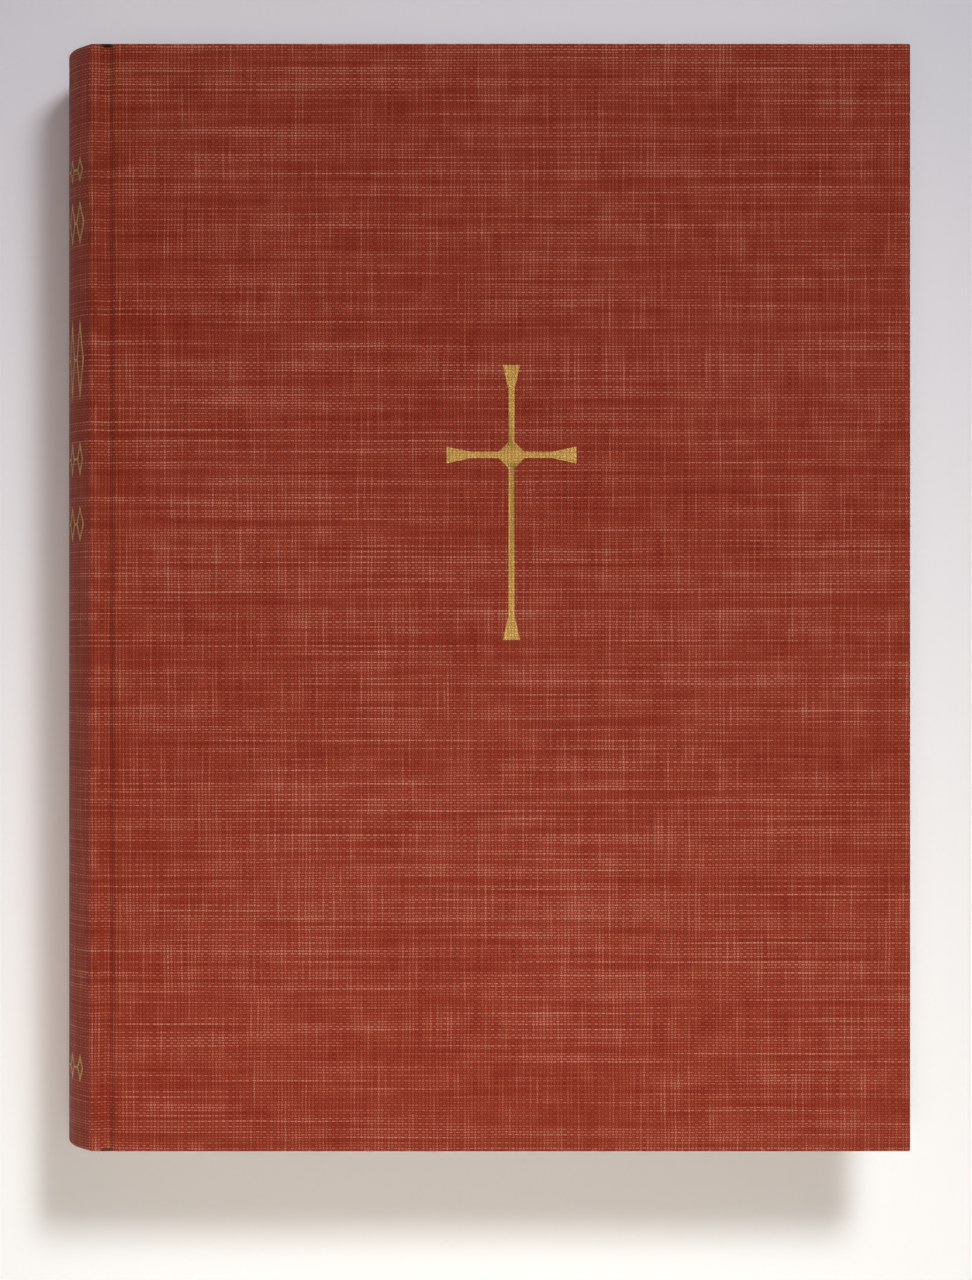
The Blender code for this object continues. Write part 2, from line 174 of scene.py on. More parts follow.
class Material:
    """A Principled material whose patterns are written as expressions."""

    def __init__(self, name, roughness, metallic=0.0, sheen=0.0, specular=0.5):
        self.material = bpy.data.materials.new(name)
        self.material.use_nodes = True
        self.nodes = self.material.node_tree.nodes
        self.links = self.material.node_tree.links
        self.shader = self.nodes["Principled BSDF"]
        self.shader.inputs["Roughness"].default_value = roughness
        self.shader.inputs["Metallic"].default_value = metallic
        self.shader.inputs["Sheen Weight"].default_value = sheen
        self.shader.inputs["Specular IOR Level"].default_value = specular

    def plug(self, target, value):
        if isinstance(value, Term):
            self.links.new(value.socket, target)
        else:
            target.default_value = value

    def node(self, kind, settings, inputs, output=0):
        made = self.nodes.new(kind)
        for key, value in settings.items():
            setattr(made, key, value)
        for key, value in inputs.items():
            self.plug(made.inputs[key], value)
        return Term(self, made.outputs[output])

    def uv(self):
        vector = self.node("ShaderNodeUVMap", {"uv_map": "weave"}, {})
        return self.split(vector)

    def place(self):
        vector = self.node("ShaderNodeTexCoord", {}, {}, "Object")
        return self.split(vector)

    def split(self, vector):
        made = self.node("ShaderNodeSeparateXYZ", {}, {0: vector}).socket.node
        return [Term(self, socket) for socket in made.outputs]

    def join(self, x, y, z=0.0):
        return self.node("ShaderNodeCombineXYZ", {}, {0: x, 1: y, 2: z})

    def noise(self, vector, scale, detail=2.0, roughness=0.5):
        inputs = {"Vector": vector, "Scale": scale, "Detail": detail, "Roughness": roughness}
        return self.node("ShaderNodeTexNoise", {}, inputs)

    def cells(self, value):
        """An even random number for each whole number."""
        return self.node("ShaderNodeTexWhiteNoise", {"noise_dimensions": "1D"}, {"W": value})

    def mix(self, share, first, second):
        """A colour between first and second. Sockets 6, 7 and output 2 are the node's colour ones."""
        settings = {"data_type": "RGBA", "clamp_factor": True}
        inputs = {0: share, 6: with_alpha(first), 7: with_alpha(second)}
        return self.node("ShaderNodeMix", settings, inputs, output=2)

    def paint(self, colour, roughness=None):
        self.plug(self.shader.inputs["Base Color"], with_alpha(colour))
        if roughness is not None:
            self.plug(self.shader.inputs["Roughness"], roughness)

    def emboss(self, height, depth, strength=1.0):
        """Bump, with the pattern's full height given as a real depth."""
        inputs = {"Height": height, "Distance": depth, "Strength": strength}
        bump = self.node("ShaderNodeBump", {}, inputs)
        self.plug(self.shader.inputs["Normal"], bump)


CLOTH_DEEP = (0.190, 0.0120, 0.0030)
CLOTH_RED = (0.385, 0.0700, 0.0350)
CLOTH_PALE = (0.540, 0.2200, 0.1580)
GOLD_DEEP = (0.235, 0.114, 0.018)
GOLD = (0.480, 0.272, 0.050)
GOLD_PALE = (0.880, 0.660, 0.240)


def woven(material, across, along):
    """Height and shade of a plain weave of uneven threads.

    across runs over the upright warp threads, and along over the weft. The weft was dyed unevenly, so
    whole threads show pale for a hand's breadth. The warp shows in shorter lengths.
    """
    drift = material.noise(material.join(across * 90, along * 90), 1.0, 1.0) - 0.5
    waver = material.noise(material.join(across * 60, along * 130, 7.0), 1.0, 1.0) - 0.5
    u = across / WARP_PITCH + drift * 0.6
    v = along / WEFT_PITCH + waver * 0.6
    warp_ridge = (u * math.tau).cos() * 0.5 + 0.5
    weft_ridge = (v * math.tau).cos() * 0.5 + 0.5
    warp_on_top = ((u * math.pi).cos() * (v * math.pi).cos()).between(-0.4, 0.4)
    warp_number = (u + 0.5).floor()
    weft_number = (v + 0.5).floor()
    weft_length = material.noise(material.join(across * 24, weft_number * 3.73, 3.0), 1.0, 2.0) - 0.5
    warp_length = material.noise(material.join(warp_number * 4.31, along * 75, 9.0), 1.0, 2.0) - 0.5
    weft_dye = material.cells(weft_number) - 0.5
    warp_dye = material.cells(warp_number + 611.0) - 0.5
    weft = (weft_length * 2.4 + weft_dye * 0.4) * weft_ridge * (1.0 - warp_on_top * 0.2)
    warp = (warp_length * 2.8 + warp_dye * 0.3) * warp_ridge * (warp_on_top * 0.8 + 0.2)
    height = warp_ridge * warp_on_top * 0.8 + weft_ridge * (1 - warp_on_top)
    return height, weft + warp * 0.75


def cloth_material():
    """Linen book cloth: uneven threads, soft clouds of dye, and pale wear on the ridge and the cut ends."""
    made = Material("linen_book_cloth", roughness=0.80, sheen=0.05, specular=0.15)
    across, along, _ = made.uv()
    height, shade = woven(made, across, along)
    patch = made.noise(made.join(across * 130, along * 170), 1.0, 3.0, 0.6) - 0.5
    cloud = made.noise(made.join(across * 18, along * 14, 5.0), 1.0, 2.0) - 0.5
    by_ridge = 1 - (across - RIDGE_X).abs().between(0.0002, 0.0016)
    by_edge = 1 - (along.abs() - HEIGHT / 2).abs().between(0.0001, 0.0009)
    handled = made.noise(made.join(across * 420, along * 180, 11.0), 1.0, 2.0).between(0.42, 0.68)
    rubbed = (by_ridge * 0.35 + by_edge * 0.8) * handled
    tone = rubbed * 1.1 + shade * 1.75 + (height - 0.5) * 1.60 + patch * 1.2 + cloud * 0.6
    body = made.mix((tone * 0.5 + 0.5).clamp(), CLOTH_DEEP, CLOTH_RED)
    made.paint(made.mix(tone.between(0.25, 1.9), body, CLOTH_PALE), 0.88 - height * 0.14)
    made.emboss(height * 0.7 + shade * 0.3, 0.00010, 0.6)
    return made.material


def foil_material():
    """Gold foil, pressed into the weave: it glints on the threads and breaks up in the gaps between them."""
    made = Material("stamped_gold_foil", roughness=0.38, metallic=0.6, specular=0.5)
    x, y, z = made.place()
    height, _ = woven(made, x, y)
    glint = made.noise(made.join(x * 2600, y * 2600, z * 2600), 1.0, 2.0, 0.7)
    rubbed = made.noise(made.join(x * 700, y * 700, z * 700), 1.0, 3.0, 0.65)
    leaf = made.mix((height * 0.55 + glint * 0.75).between(0.25, 0.80), GOLD_DEEP, GOLD)
    bright = made.mix(glint.between(0.58, 0.72) * height.between(0.2, 0.7), leaf, GOLD_PALE)
    worn = rubbed.between(0.57, 0.70) * (1 - height * 0.5) * 0.65
    made.paint(made.mix(worn, bright, CLOTH_RED), 0.30 + rubbed * 0.30)
    made.plug(made.shader.inputs["Metallic"], 0.45 - worn * 0.4)
    made.emboss(height * 0.6 + glint * 0.7, 0.00006, 0.8)
    return made.material


PAPER = (0.790, 0.715, 0.560)
PAPER_SHADE = (0.640, 0.560, 0.420)
ENDPAPER = (0.800, 0.740, 0.610)
LEAVES_SHOWN = 16


def paper_material(name, colour, shade):
    """Uncoated book paper: a soft mottle of fibres, a little darker towards its edges."""
    made = Material(name, roughness=0.86, specular=0.25)
    x, y, z = made.place()
    fibre = made.noise(made.join(x * 900, y * 900, z * 900), 1.0, 5.0, 0.62)
    cloud = made.noise(made.join(x * 45, y * 45, z * 45), 1.0, 3.0)
    toned = (x - (PAGE_EDGE_X - 0.012)).between(0.0, 0.012) * 0.30
    toned = toned + (y.abs() - (PAGE_HALF - 0.012)).between(0.0, 0.012) * 0.30
    made.paint(made.mix(toned + fibre.between(0.45, 0.8) * 0.22 + cloud.between(0.4, 0.8) * 0.22, colour, shade))
    made.emboss(fibre, 0.00003, 0.5)
    return made.material


def page_edge_material():
    """The cut edges of a gathering: a line for each leaf. The map's second value counts gatherings."""
    made = Material("page_edges", roughness=0.88, specular=0.2)
    run, gathering, _ = made.uv()
    fine = made.noise(made.join(run * 60, gathering * 38), 1.0, 2.0, 0.7)
    line = made.cells((gathering * LEAVES_SHOWN + (fine - 0.5) * 0.3).floor())
    stain = made.noise(made.join(run * 25, gathering * 1.1), 1.0, 4.0)
    gap = (gathering.fract() - 0.5).abs().between(0.44, 0.5)
    dark = line * 0.34 + fine.between(0.45, 0.75) * 0.25 + stain.between(0.45, 0.8) * 0.25 + gap * 0.45
    made.paint(made.mix(dark, PAPER, (0.430, 0.340, 0.210)))
    made.emboss(line * 0.6 + fine * 0.4 - gap, 0.00010, 0.8)
    return made.material


def band_material():
    """A silk headband: red and cream stripes across a rolled core, with fine thread ridges."""
    made = Material("striped_silk_band", roughness=0.5, sheen=0.3)
    x, y, z = made.place()
    stripe = (z * (math.tau / 0.0024)).cos().between(-0.15, 0.15)
    thread = (z * (math.tau / 0.0003)).cos() * 0.5 + 0.5
    fuzz = made.noise(made.join(x * 3000, y * 3000, z * 3000), 1.0, 2.0)
    striped = made.mix(stripe, (0.300, 0.030, 0.022), (0.740, 0.650, 0.450))
    made.paint(made.mix(fuzz * 0.35, striped, (0.200, 0.120, 0.070)))
    made.emboss(thread, 0.00008, 0.8)
    return made.material


def board_material(name, colour, dark):
    """Pressed board or card: flecked, with short fibres."""
    made = Material(name, roughness=0.92, specular=0.2)
    x, y, z = made.place()
    fleck = made.noise(made.join(x * 1400, y * 1400, z * 4000), 1.0, 4.0, 0.7)
    made.paint(made.mix(fleck.between(0.45, 0.7), colour, dark))
    made.emboss(fleck, 0.00006, 0.6)
    return made.material


def mull_material():
    """Open starched gauze."""
    made = Material("starched_mull", roughness=0.9, specular=0.2)
    x, y, z = made.place()
    across = ((x + z) * (math.tau / 0.0011)).cos() * 0.5 + 0.5
    along = (y * (math.tau / 0.0012)).cos() * 0.5 + 0.5
    grid = across.math("MAXIMUM", along)
    fibre = made.noise(made.join(x * 2500, y * 2500, z * 2500), 1.0, 3.0)
    made.paint(made.mix(grid * 0.9 - fibre * 0.2, (0.330, 0.270, 0.170), (0.760, 0.720, 0.610)))
    made.emboss(grid, 0.00012, 0.9)
    return made.material


def thread_material():
    """Waxed linen sewing thread, with the twist of its plies."""
    made = Material("waxed_linen_thread", roughness=0.6)
    x, y, z = made.place()
    twist = ((z * 1.4 + y) * (math.tau / 0.0005)).cos() * 0.5 + 0.5
    fuzz = made.noise(made.join(x * 5000, y * 5000, z * 5000), 1.0, 2.0)
    made.paint(made.mix(twist * 0.6 + fuzz * 0.3, (0.480, 0.420, 0.300), (0.810, 0.760, 0.640)))
    made.emboss(twist, 0.00006, 0.9)
    return made.material


# ---------------------------------------------------------------- mesh tools


def at_side(side, point):
    """A (x, height above the middle plane) pair as X and Z on the front or the back half."""
    return Vector((point[0], HALF + side * point[1]))


def loft(sections, closed):
    """Extrudes the first section's edges from ring to ring. It returns the bmesh and the rings of vertices."""
    bm = bmesh.new()
    ring = [bm.verts.new(point) for point in sections[0]]
    pairs = list(zip(ring, ring[1:] + ring[:1])) if closed else list(zip(ring, ring[1:]))
    edges = [bm.edges.new(pair) for pair in pairs]
    rings = [ring]
    for section in sections[1:]:
        made = bmesh.ops.extrude_edge_only(bm, edges=edges)["geom"]
        fresh = {item for item in made if isinstance(item, bmesh.types.BMVert)}
        next_ring = []
        for vert, point in zip(ring, section):
            partner = next(edge.other_vert(vert) for edge in vert.link_edges if edge.other_vert(vert) in fresh)
            partner.co = point
            next_ring.append(partner)
        kept = set(next_ring)
        edges = [item for item in made if isinstance(item, bmesh.types.BMEdge) and set(item.verts) <= kept]
        ring = next_ring
        rings.append(ring)
    return bm, rings


def map_weave(bm, uv_of):
    """Writes the map that the cloth and page-edge patterns follow. uv_of gives (u, v) for a vertex on a face."""
    layer = bm.loops.layers.uv.new("weave")
    for face in bm.faces:
        for loop in face.loops:
            loop[layer].uv = uv_of(loop.vert, face)


def finish_mesh(bm, name, materials, smooth_angle=math.radians(40)):
    """Turns the bmesh into a smooth-shaded object at the origin, with sharp edges past the angle."""
    bmesh.ops.recalc_face_normals(bm, faces=bm.faces)
    mesh = bpy.data.meshes.new(name)
    bm.to_mesh(mesh)
    bm.free()
    for material in materials:
        mesh.materials.append(material)
    mesh.shade_smooth()
    mesh.set_sharp_from_angle(angle=smooth_angle)
    piece = bpy.data.objects.new(name, mesh)
    bpy.context.scene.collection.objects.link(piece)
    return piece


def thicken(piece, thickness, offset=-1.0):
    """Gives a sheet its thickness: inwards by default, outwards with an offset of 1."""
    solid = piece.modifiers.new("thickness", "SOLIDIFY")
    solid.thickness = thickness
    solid.offset = offset
    solid.use_even_offset = True
    return piece


def outward_normals(points, closed):
    """Mitred unit offsets to the left of a line of (x, z) points."""
    count = len(points)
    steps = [(points[(i + 1) % count] - points[i]).normalized() for i in range(count if closed else count - 1)]
    normals = [Vector((-step.y, step.x)) for step in steps]
    joined = []
    for i in range(count):
        before = normals[i - 1] if closed or i > 0 else normals[0]
        after = normals[i % len(normals)] if closed or i < count - 1 else normals[-1]
        joined.append((before + after) / (1 + before.dot(after)))
    return joined


def arc(centre, radius, start, end, steps):
    """Points on an arc in the (x, height) plane, angles in degrees from +X."""
    turns = [math.radians(start + (end - start) * i / steps) for i in range(steps + 1)]
    return [Vector((centre[0] + radius * math.cos(turn), centre[1] + radius * math.sin(turn))) for turn in turns]


def spread(low, high, count):
    """Evenly spaced values from low to high, in this many steps."""
    return [low + (high - low) * i / count for i in range(count + 1)]


# ---------------------------------------------------------------- cloth of the case


def groove_line():
    """From the top of the ridge, through the soft hollow of the joint, to the top of the board."""
    width = GROOVE_END_X - RIDGE_X
    line = []
    for share, depth in GROOVE_HOLLOW:
        line.append(Vector((RIDGE_X + width * share, HALF - GROOVE_DEPTH * depth)))
    return line


def cover_outline():
    """The closed outline of a covered board with its joint strip, starting on top of the ridge.

    It runs over the groove and the board, round the fore-edge and back along the inner face.
    """
    top = HALF
    under = PASTE_HIGH.z - HALF + PASTE_GAP
    radius = EDGE_RADIUS
    line = groove_line()
    flat_end = FORE_X - radius
    line += [Vector((x, top)) for x in spread(GROOVE_END_X, flat_end, 24)[1:-1]]
    line += arc((flat_end, top - radius), radius, 90, 0, 5)
    line += arc((flat_end, under + radius), radius, 0, -90, 5)
    line += [Vector((x, under)) for x in spread(FORE_X - TURN_IN, BOARD_X + 0.001, 6)]
    edge_x = BOARD_X + 0.0004
    line += [Vector((edge_x, under)), Vector((edge_x, top - 2 * STRIP))]
    line += [point - Vector((0, STRIP)) for point in reversed(groove_line()) if point.x < BOARD_X]
    return line


def make_cover_cloth(label, side, material):
    """One cloth skin turned in round the board, with a window on the inner face between the turn-ins."""
    outline = cover_outline()
    normals = outward_normals(outline, True)
    half = HEIGHT / 2
    stations = [(half - TURN_IN, 0.0)]
    for turn in spread(0, math.pi / 2, 3):
        stations.append((half - END_ROUNDING * (1 - math.sin(turn)), END_ROUNDING * (1 - math.cos(turn))))
    stations = [(-y, inset) for y, inset in reversed(stations)] + stations
    sections = []
    for y, inset in stations:
        points = [at_side(side, point - normal * inset) for point, normal in zip(outline, normals)]
        sections.append([(point.x, y, point.y) for point in points])
    bm, rings = loft(sections, True)
    runs = {}
    run = RIDGE_X
    for i, point in enumerate(outline):
        run += (point - outline[i - 1]).length if i else 0.0
        for ring in rings:
            runs[ring[i]] = run
    caps = set()
    for ring in (rings[0], rings[-1]):
        edges = [bm.edges.get(pair) for pair in zip(ring, ring[1:] + ring[:1])]
        caps.update(bmesh.ops.edgeloop_fill(bm, edges=edges)["faces"])

    def uv_of(vert, face):
        if face in caps:
            depth = HALF - side * (vert.co.z - HALF)
            return vert.co.x, math.copysign(half + depth, vert.co.y)
        return runs[vert], vert.co.y

    map_weave(bm, uv_of)
    middle = len(rings) // 2
    window = set(rings[middle - 1] + rings[middle])
    turn_in_edge = min(outline, key=lambda point: abs(point.x - FORE_X + TURN_IN) + point.y)
    turn_in_run = runs[rings[0][outline.index(turn_in_edge)]]
    last_run = max(runs.values())
    uncovered = []
    for face in bm.faces:
        if face in caps or not set(face.verts) <= window:
            continue
        reach = [runs[vert] for vert in face.verts]
        closes_line = min(reach) < RIDGE_X + TINY and max(reach) > last_run - TINY
        if closes_line or min(reach) >= turn_in_run - TINY:
            uncovered.append(face)
    bmesh.ops.delete(bm, geom=uncovered, context="FACES_ONLY")
    name = f"{label}_cover_cloth_skin"
    piece = thicken(finish_mesh(bm, name, [material]), CLOTH)
    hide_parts(f"{label}_cover_cloth")
    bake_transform(piece)


def spine_line():
    """The outer line of the spine cloth, from the top of the back ridge round the spine to the front ridge."""
    ridge = arc((RIDGE_X, HALF - RIDGE_RADIUS), RIDGE_RADIUS, 180 - math.degrees(SPINE_ANGLE), 90, 6)[1:]
    round_part = []
    for angle in spread(-SPINE_ANGLE, SPINE_ANGLE, 48):
        round_part.append(Vector((SPINE_CENTRE_X - SPINE_RADIUS * math.cos(angle), SPINE_RADIUS * math.sin(angle))))
    return [Vector((point.x, -point.y)) for point in reversed(ridge)] + round_part + ridge


def make_spine_cloth(material):
    """One sheet over the spine, rolled in over the inlay at head and tail to make the caps."""
    line = spine_line()
    normals = outward_normals(line, False)
    half = HEIGHT / 2
    rolled = []
    for turn in spread(0, math.pi, 9):
        rolled.append((half - CAP_ROLL * (1 - math.sin(turn)), CAP_ROLL * (1 - math.cos(turn))))
    stations = [(half - TURN_IN, 0.0), *rolled, (half - TURN_IN, 2 * CAP_ROLL)]
    stations = [(-y, inset) for y, inset in reversed(stations)] + stations
    sections = []
    for y, inset in stations:
        section = []
        for i, (point, normal) in enumerate(zip(line, normals)):
            from_end = min(i, len(line) - 1 - i)
            share = CAP_AT_RIDGE + (1 - CAP_AT_RIDGE) * min(1.0, from_end / CAP_FADE_STEPS)
            place = at_side(1, point - normal * inset * share)
            section.append((place.x, y, place.y))
        sections.append(section)
    bm, rings = loft(sections, False)
    length = sum((b - a).length for a, b in zip(line, line[1:]))
    run = RIDGE_X - length
    runs = {}
    for i, point in enumerate(line):
        run += (point - line[i - 1]).length if i else 0.0
        for ring, (y, inset) in zip(rings, stations):
            runs[ring[i]] = (run, y + math.copysign(inset, y))
    map_weave(bm, lambda vert, face: runs[vert])
    piece = thicken(finish_mesh(bm, "spine_cloth_skin", [material], math.radians(60)), CLOTH)
    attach(piece, "text_block")
    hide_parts("spine_cloth")


# ---------------------------------------------------------------- gold on the spine

FOIL_THICKNESS = 0.00004
FOIL_LIFT = 0.00002
ORNAMENT_PITCH = 0.004465
BAR_HEIGHT = 0.0005
BAR_OVERLAP = 0.0002
BAR_STEP = 0.0007


def bend_round_spine(bm, lift):
    """Bends a flat shape, drawn as length round the spine and height, on to the rounded spine."""
    for vert in bm.verts:
        angle = vert.co.x / SPINE_RADIUS
        radius = SPINE_RADIUS + lift + vert.co.z
        x = SPINE_CENTRE_X - radius * math.cos(angle)
        vert.co = (x, vert.co.y, HALF + radius * math.sin(angle))


def draw_lozenge(bm, x, y, half_width, half_height, stroke):
    """An open lozenge, drawn as one line of foil."""
    made = bmesh.ops.create_circle(bm, cap_ends=True, segments=4, radius=1.0)["verts"]
    for vert in made:
        vert.co = (x + vert.co.x * half_width, y + vert.co.y * half_height, 0)
    face = made[0].link_faces[0]
    bmesh.ops.inset_region(bm, faces=[face], thickness=stroke, use_even_offset=True, use_boundary=True)
    bmesh.ops.delete(bm, geom=[face], context="FACES")


def draw_bar(bm, x, y, width, height):
    """A bar between two lozenges, in short steps so that it can bend round the spine."""
    segments = max(2, round(width / BAR_STEP))
    made = bmesh.ops.create_grid(bm, x_segments=segments, y_segments=1, size=0.5)["verts"]
    for vert in made:
        vert.co = (x + vert.co.x * width, y + vert.co.y * height, 0)


def make_spine_foil(material):
    """Rows of open lozenges joined by small bars, round the spine from head to tail."""
    rows = {
        # name: (height on the spine, half width, half height, line)
        "head_row": (0.0861, 0.0014, 0.0026, 0.00050),
        "second_row": (0.0754, 0.0020, 0.0044, 0.00055),
        "tall_row": (0.0479, 0.0017, 0.0082, 0.00050),
        "fourth_row": (0.0279, 0.0014, 0.0036, 0.00050),
        "fifth_row": (0.0148, 0.0018, 0.0036, 0.00050),
        "tail_row": (-0.0945, 0.0014, 0.0028, 0.00050),
    }
    for name, (y, half_width, half_height, stroke) in rows.items():
        bm = bmesh.new()
        for step in range(-3, 4):
            draw_lozenge(bm, step * ORNAMENT_PITCH, y, half_width, half_height, stroke)
        bar_width = ORNAMENT_PITCH - 2 * half_width + BAR_OVERLAP
        for step in range(-3, 3):
            draw_bar(bm, (step + 0.5) * ORNAMENT_PITCH, y, bar_width, BAR_HEIGHT)
        made = bmesh.ops.extrude_face_region(bm, geom=bm.faces[:])["geom"]
        top = [item for item in made if isinstance(item, bmesh.types.BMVert)]
        bmesh.ops.translate(bm, verts=top, vec=(0, 0, FOIL_THICKNESS))
        bend_round_spine(bm, FOIL_LIFT)
        piece = finish_mesh(bm, f"spine_{name}", [material])
        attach(piece, "text_block")


# ---------------------------------------------------------------- pages

# How far the fold's curve reaches to the back and to the front of its sharpest point
FOLD_REACH = 0.0011
FLAT_REACH = 0.0014
GATHERING_GAP = 0.00012
# The trimmed edges aren't quite even from one gathering to the next
FORE_UNEVEN = 0.00012
TRIM_SHORT, TRIM_LONG = -0.00010, 0.00004
# The outer leaves stand off the shoulder's slope, each a little less than the one outside it
SLOPE_LIFT = 0.00035
SLOPE_STEP = 0.00005
LEAF_SAG = 0.00004
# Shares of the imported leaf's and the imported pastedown's thickness
LEAF_SHARE = 0.9
PASTEDOWN_SHARE = 0.8
PASTE_LIFT = 0.00002
SEWN_GAP = 0.0001
SEWN_HALF = SEWN_HIGH - HALF - SEWN_GAP
FOLD_RADIUS = SPINE_CENTRE_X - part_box("gathering_07")[0].x
GATHERINGS = sum(name.startswith("gathering_") for name in frame["nodes"])
LEAF_REACH = PAGE_EDGE_X - (SPINE_CENTRE_X - SEWN_HALF / math.tan(SPINE_ANGLE)) - SEWN_HALF / math.sin(SPINE_ANGLE)


def page_line(height):
    """A sewn leaf's line from fold to fore-edge, lying flat at this height above the middle plane."""
    angle = SPINE_ANGLE * height / SEWN_HALF
    bend_radius = height / math.sin(angle) if abs(angle) > TINY else SEWN_HALF / SPINE_ANGLE
    out = Vector((-math.cos(angle), math.sin(angle)))
    centre = Vector((SPINE_CENTRE_X, 0))
    bend = centre + out * bend_radius
    start = bend + out * FOLD_REACH
    end = bend + Vector((FLAT_REACH, 0))
    line = [centre + out * radius for radius in (FOLD_RADIUS, FOLD_RADIUS - 0.0002, FOLD_RADIUS - 0.0008)]
    for t in spread(0, 1, 7):
        line.append(start * (1 - t) ** 2 + bend * 2 * t * (1 - t) + end * t**2)
    fore = Vector((bend.x + bend_radius + LEAF_REACH, height))
    line += [end.lerp(fore, share) for share in (0.5, 0.985, 1.0)]
    return line


def make_gathering(number, rng, page, edge):
    """One folded section with its head, tail and fore-edge marked leaf by leaf."""
    pitch = 2 * SEWN_HALF / GATHERINGS
    low = -SEWN_HALF + (number - 1) * pitch
    middle = page_line(low + pitch / 2)
    inset = 1 - GATHERING_GAP / 2 / pitch
    fullness = [0.30 * inset, 0.72 * inset] + [inset] * (len(middle) - 3) + [0.97 * inset]
    step = rng.uniform(-FORE_UNEVEN, FORE_UNEVEN)
    rows = []
    for bound in (low, low + pitch):
        row = [m.lerp(b, f) for m, b, f in zip(middle, page_line(bound), fullness)]
        row[-1].x += step
        rows.append(row)
    trim = PAGE_HALF + rng.uniform(TRIM_SHORT, TRIM_LONG)
    turns = ((rows[0], -trim), (rows[1], -trim), (rows[1], trim), (rows[0], trim), (rows[0], -trim))
    sections = [[(p.x, y, HALF + p.y) for p in row] for row, y in turns]
    bm, rings = loft(sections, False)
    runs = {}
    for ring, share in zip(rings, (0, 1, 1, 0, 0)):
        for i, vert in enumerate(ring):
            runs[vert] = (ring[i].co.x + ring[i].co.y, number - 1 + 0.02 + 0.96 * share)
    for strip, slot in enumerate((1, 0, 1, 0)):
        between = set(rings[strip] + rings[strip + 1])
        for face in bm.faces:
            if set(face.verts) <= between:
                face.material_index = slot
    for end, slot in ((0, 0), (-1, 1)):
        corners = [ring[end] for ring in rings[:4]]
        for face in bmesh.ops.contextual_create(bm, geom=corners)["faces"]:
            face.material_index = slot
    map_weave(bm, lambda vert, face: runs[vert])
    bmesh.ops.remove_doubles(bm, verts=bm.verts, dist=1e-7)
    name = f"gathering_{number:02d}"
    piece = finish_mesh(bm, f"{name}_pages", [page, edge], math.radians(30))
    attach(piece, "text_block")
    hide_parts(name)


def ramp_point(share, lift):
    """A point on the slope of the shoulder: 0 at its tip, 1 at its foot, lifted off the sewn block."""
    out = Vector((-math.cos(SPINE_ANGLE), math.sin(SPINE_ANGLE)))
    across = Vector((math.sin(SPINE_ANGLE), math.cos(SPINE_ANGLE)))
    radius = FOLD_RADIUS + share * (SEWN_HALF / math.sin(SPINE_ANGLE) - FOLD_RADIUS)
    return Vector((SPINE_CENTRE_X, 0)) + out * radius + across * lift


def make_leaf(label, side, name, order, page):
    """A turning leaf: it leaves the shoulder's slope, bends, and lies flat."""
    node = f"{label}_{name}"
    low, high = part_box(node)
    top = max(side * (high.z - HALF), side * (low.z - HALF))
    thickness = high.z - low.z
    foot = ramp_point((INSIDE - top) / (INSIDE - SEWN_HALF) * 0.55 + 0.42, SLOPE_LIFT - SLOPE_STEP * order)
    inner = Vector((low.x, top))
    line = [foot, foot.lerp(inner, 0.5) - Vector((0, LEAF_SAG)), inner]
    for share in (0.01, 0.02, 0.04, 0.08, 0.3, 0.65, 1.0):
        line.append(Vector((inner.x + (PAGE_EDGE_X - inner.x) * share, top)))
    sections = []
    for y in spread(-PAGE_HALF, PAGE_HALF, 8):
        sections.append([(p.x, y, at_side(side, p).y) for p in line])
    bm, _ = loft(sections, False)
    piece = finish_mesh(bm, f"{node}_sheet", [page])
    up = side if piece.data.polygons[0].normal.z > 0 else -side
    thicken(piece, thickness * LEAF_SHARE, -1.0 if up > 0 else 1.0)
    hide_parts(node)
    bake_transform(piece)


def make_pastedown(label, side, page):
    """The endpaper's glued half. It starts under the ridge, lines the joint and covers the turn-ins."""
    node = f"{label}_pastedown"
    low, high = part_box(node)
    thickness = (high.z - low.z) * PASTEDOWN_SHARE
    level = INSIDE + PASTE_LIFT
    start = ramp_point(0.05, 0.00045)
    foot = Vector((BOARD_X - 0.0012, level))
    line = [start, start.lerp(foot, 0.33), start.lerp(foot, 0.66), foot, Vector((BOARD_X - 0.0002, level))]
    line += [Vector((BOARD_X + 0.0002 + (high.x - BOARD_X) * share, level)) for share in (0, 0.02, 0.3, 0.65, 1.0)]
    sections = [[(p.x, y, at_side(side, p).y) for p in line] for y in spread(-PAGE_HALF, PAGE_HALF, 8)]
    bm, _ = loft(sections, False)
    piece = finish_mesh(bm, f"{node}_sheet", [page])
    faces_up = piece.data.polygons[len(piece.data.polygons) // 2].normal.z > 0
    thicken(piece, thickness, 1.0 if faces_up == (side > 0) else -1.0)
    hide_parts(node)
    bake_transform(piece)


# ---------------------------------------------------------------- the rest of the book


def dress_cad_nodes():
    """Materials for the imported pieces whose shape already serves."""
    board = board_material("grey_millboard", (0.330, 0.290, 0.230), (0.180, 0.150, 0.110))
    card = board_material("brown_spine_card", (0.420, 0.310, 0.190), (0.270, 0.180, 0.100))
    finishes = {
        "front_board": board,
        "back_board": board,
        "spine_inlay": card,
        "spine_lining_paper": card,
        "mull": mull_material(),
        "sewing": thread_material(),
        "headband": band_material(),
    }
    finishes["tailband"] = finishes["headband"]
    for name, node in frame["nodes"].items():
        for key, material in finishes.items():
            if name == key or (key in name and key in ("mull", "sewing")):
                node.data.materials.clear()
                node.data.materials.append(material)


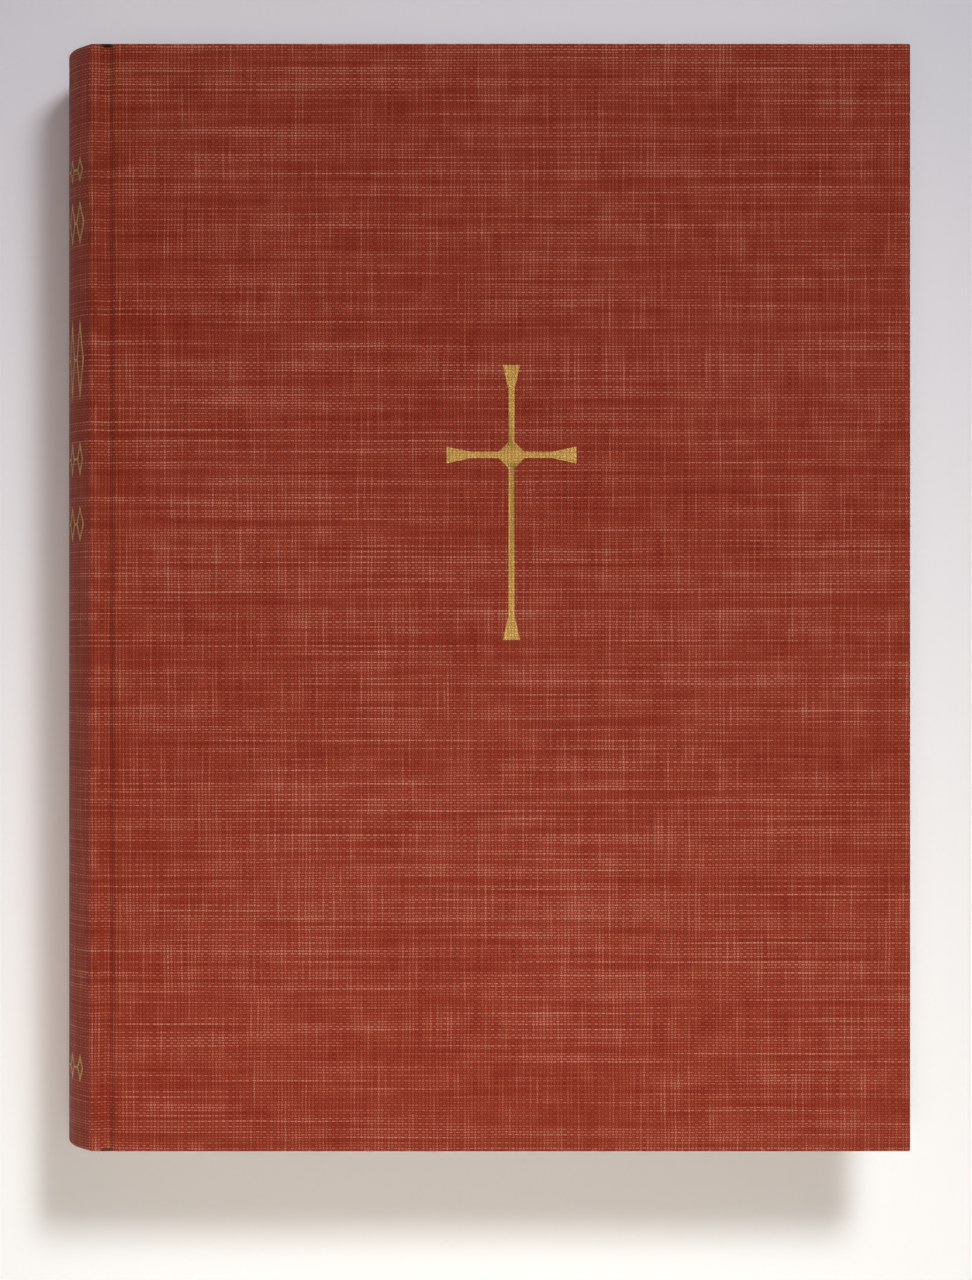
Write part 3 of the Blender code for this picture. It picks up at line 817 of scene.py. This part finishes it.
def make_cross(material):
    """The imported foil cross, lifted until it stands just proud of the front cover's cloth."""
    node = frame["nodes"]["front_cross_foil"]
    bm = bmesh.new()
    bm.from_mesh(node.data)
    bmesh.ops.remove_doubles(bm, verts=bm.verts, dist=1e-7)
    bmesh.ops.translate(bm, verts=bm.verts, vec=(0, 0, THICKNESS + FOIL_THICKNESS - CROSS_TOP))
    piece = finish_mesh(bm, "front_cross_gold", [material])
    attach(piece, "front_cover")
    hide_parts("front_cross_foil")


def make_floor():
    """A plain pale table top with painted shade: its colour darkens and cools towards the head, where less light
    falls.
    """
    made = Material("pale_table", roughness=0.9, specular=0.2)
    x, y, _ = made.place()
    painted_shade_towards_head = y.between(-0.16, 0.16)
    grain = made.noise(made.join(x * 300, y * 300), 1.0, 2.0)
    # Painted shade: the colour goes from white at the tail to a dimmer lavender grey at the head, standing in for
    # the light's fall-off.
    made.paint(made.mix(painted_shade_towards_head, (0.950, 0.955, 0.945), (0.860, 0.840, 0.910)))
    made.emboss(grain, 0.00002, 0.3)
    bm = bmesh.new()
    bmesh.ops.create_grid(bm, x_segments=1, y_segments=1, size=1.6)
    floor = finish_mesh(bm, "table_top", [made.material])


def make_light(name, energy, size, beam, place, target, colour):
    data = bpy.data.lights.new(name, "AREA")
    data.energy = energy
    data.size = size
    data.color = colour
    data.spread = math.radians(beam)
    light = bpy.data.objects.new(name, data)
    light.location = place
    light.rotation_euler = (Vector(target) - Vector(place)).to_track_quat("-Z", "Y").to_euler()
    bpy.context.scene.collection.objects.link(light)


def make_studio():
    """A window at the head, a warmer light over the tail, a low fill for the spine and a dim world."""
    make_light(
        "window", energy=0.99, size=0.30, beam=50, place=(0.39, 0.62, 1.10), target=(-0.03, -0.22, 0),
        colour=(0.93, 0.97, 1.0),
    )
    make_light(
        "overhead", energy=0.43, size=0.45, beam=40, place=(0, -0.25, 1.10), target=(0, -0.24, 0),
        colour=(1.0, 0.90, 0.82),
    )
    make_light(
        "spine_fill", energy=0.40, size=0.40, beam=180, place=(-0.60, -0.15, 0.30), target=(-0.08, 0, 0.02),
        colour=(1.0, 0.82, 0.64),
    )
    world = bpy.data.worlds.new("studio")
    world.use_nodes = True
    background = world.node_tree.nodes["Background"]
    background.inputs["Color"].default_value = (1.0, 0.97, 0.94, 1)
    background.inputs["Strength"].default_value = 0.14
    bpy.context.scene.world = world
    bpy.context.scene.view_settings.view_transform = "Standard"


def make_camera():
    """Straight above the book, a little towards its tail."""
    distance = 0.70
    view_height = 0.2560
    data = bpy.data.cameras.new("camera")
    data.sensor_width = 36
    data.lens = data.sensor_width * distance / view_height
    camera = bpy.data.objects.new("camera", data)
    camera.location = (0.0001, -0.0085, THICKNESS + distance)
    bpy.context.scene.collection.objects.link(camera)
    bpy.context.scene.camera = camera


def make_book():
    """Every piece that can be seen, in the order that the random draws are made."""
    rng = random.Random(7)
    cloth = cloth_material()
    foil = foil_material()
    page = paper_material("book_paper", PAPER, PAPER_SHADE)
    endpaper = paper_material("endpaper", ENDPAPER, PAPER_SHADE)
    edge = page_edge_material()
    for label, side in SIDES.items():
        make_cover_cloth(label, side, cloth)
        make_pastedown(label, side, endpaper)
        for order, name in enumerate(LEAF_NAMES):
            make_leaf(label, side, name, order, endpaper if order == 0 else page)
    make_spine_cloth(cloth)
    make_spine_foil(foil)
    make_cross(foil)
    for number in range(1, GATHERINGS + 1):
        make_gathering(number, rng, page, edge)
    dress_cad_nodes()


make_camera()
make_floor()
make_studio()
make_book()
